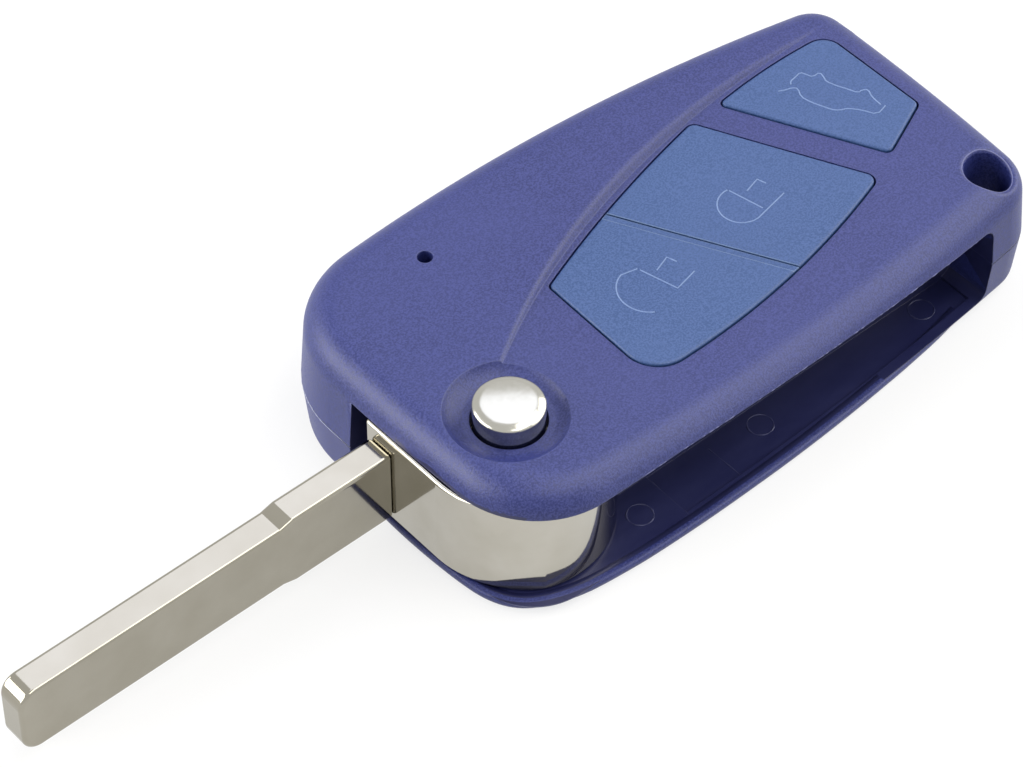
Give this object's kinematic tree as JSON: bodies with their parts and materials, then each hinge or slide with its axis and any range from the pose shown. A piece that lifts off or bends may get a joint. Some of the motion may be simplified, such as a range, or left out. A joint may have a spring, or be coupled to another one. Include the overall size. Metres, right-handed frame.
{
  "type": "flip key remote shell",
  "caption": "Folding key remote shell: an uncut blade swings out of a slot in the case's side when the round release button is pressed, and lock, unlock and boot keys sit in the top.",
  "frame": {"origin": "where the axis that the blade turns about meets the flat back face of the case", "axes": "+X along the case to the keyring hole, with the open blade along -X; +Y away from the side that holds the blade's slot; +Z out of the face with the keys"},
  "size_m": [0.1208, 0.0425, 0.0183],
  "materials": {
    "case_plastic": "fine grained",
    "key_plastic": "fine grained",
    "mat_rubber": "matt moulded",
    "hub_metal": "polished nickel",
    "blade_metal": "satin nickel plate",
    "button_chrome": "bright plated",
    "spring_steel": "drawn wire",
    "tray_plastic": "smooth"
  },
  "bodies": {
    "case": {"upper_case": "case_plastic", "lower_case": "case_plastic", "keypad_mat": "mat_rubber", "spring_seat": "case_plastic", "flip_spring": "spring_steel", "battery_tray": "tray_plastic"},
    "blade_unit": {"hub": "hub_metal", "blade": "blade_metal", "blade_pin": "spring_steel"},
    "release_button": {"release_button": "button_chrome"},
    "unlock_key": {"unlock_button": "key_plastic"},
    "lock_key": {"lock_button": "key_plastic"},
    "boot_key": {"boot_button": "key_plastic"},
    "tray_lock": {"tray_lock": "tray_plastic"}
  },
  "joints": [
    {"name": "blade_flip", "type": "hinge", "parent": "case", "child": "blade_unit", "pos_m": [0, 0, 0], "axis": [0, 0, 1], "range_deg": [0, 180], "stiffness_Nm_per_rad": 0.008, "springref_deg": -68.75},
    {"name": "release_press", "type": "slide", "parent": "blade_unit", "child": "release_button", "axis": [0, 0, -1], "range_m": [0, 0.0016], "stiffness_N_per_m": 1500, "springref_m": -0.001, "deforming": ["flip_spring"]},
    {"name": "unlock_press", "type": "slide", "parent": "case", "child": "unlock_key", "axis": [0, 0, -1], "range_m": [0, 0.0005], "stiffness_N_per_m": 1000, "springref_m": -0.0005},
    {"name": "lock_press", "type": "slide", "parent": "case", "child": "lock_key", "axis": [0, 0, -1], "range_m": [0, 0.0005], "stiffness_N_per_m": 1000, "springref_m": -0.0005},
    {"name": "boot_press", "type": "slide", "parent": "case", "child": "boot_key", "axis": [0, 0, -1], "range_m": [0, 0.0005], "stiffness_N_per_m": 1000, "springref_m": -0.0005},
    {"name": "tray_lock_turn", "type": "hinge", "parent": "case", "child": "tray_lock", "pos_m": [0.0395, -0.0056, 0.00375], "axis": [0, -1, 0], "range_deg": [0, 90]}
  ]
}
